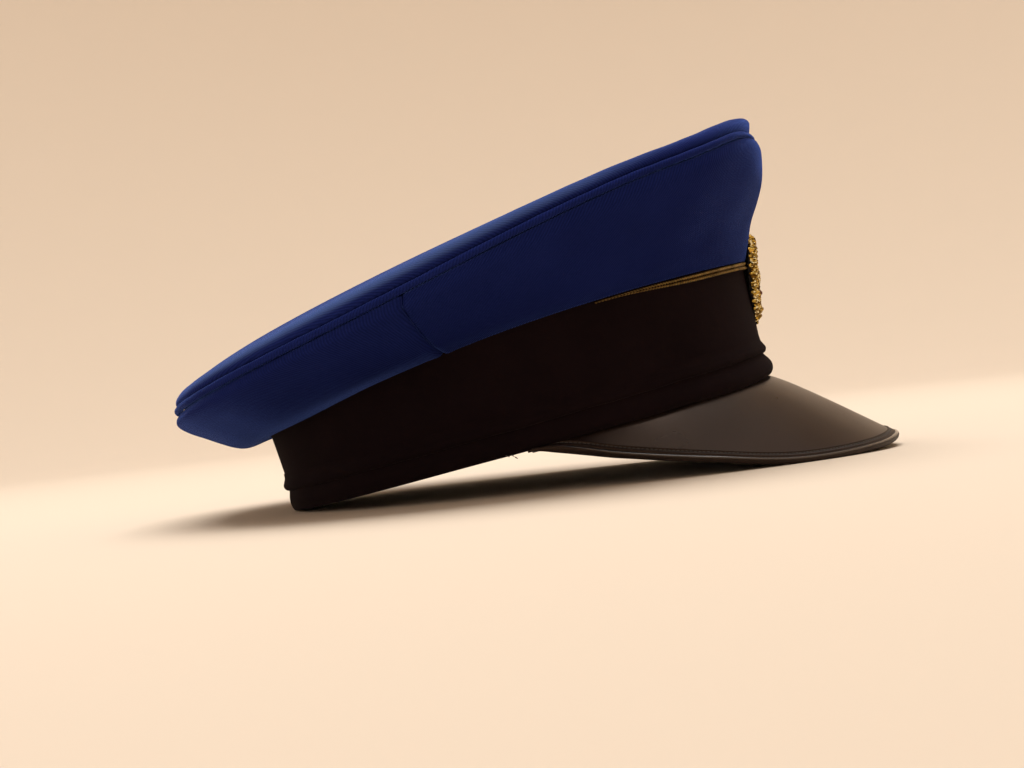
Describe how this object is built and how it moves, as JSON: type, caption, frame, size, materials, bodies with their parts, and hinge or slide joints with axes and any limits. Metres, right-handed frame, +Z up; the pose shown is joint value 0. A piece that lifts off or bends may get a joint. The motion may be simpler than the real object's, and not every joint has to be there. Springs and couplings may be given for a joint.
{
  "type": "pilot cap",
  "caption": "Peaked cap with a domed blue crown that rises to the front, a black band, gold braid, a wreath badge and a sloping glossy black peak.",
  "frame": {"origin": "middle of the cap's footprint, at the level of the surface that it rests on", "axes": "the peak points to -Y, +Z is up and +X is the wearer's left"},
  "size_m": [0.2526, 0.2958, 0.1396],
  "materials": {
    "crown_cloth": "blue wool twill with fine slanting ribs",
    "band_cloth": "black wool cloth, matt",
    "gold_braid": "two flat strands of gold thread",
    "peak_leather": "smooth glossy black coated leather",
    "peak_binding": "glossy black rolled edge, sewn on",
    "badge_felt": "black felt",
    "gold_wire": "bright gold wire coils"
  },
  "bodies": {
    "root": {"crown_top": "crown_cloth", "crown_piping": "crown_cloth", "crown_side_front": "crown_cloth", "crown_side_back": "crown_cloth", "band": "band_cloth", "band_cord": "band_cloth", "band_roll": "band_cloth", "gold_braid": "gold_braid", "peak": "peak_leather", "peak_binding": "peak_binding", "badge_backing": "badge_felt", "badge_branch_left": "gold_wire", "badge_branch_right": "gold_wire", "badge_boss": "gold_wire"}
  },
  "joints": []
}
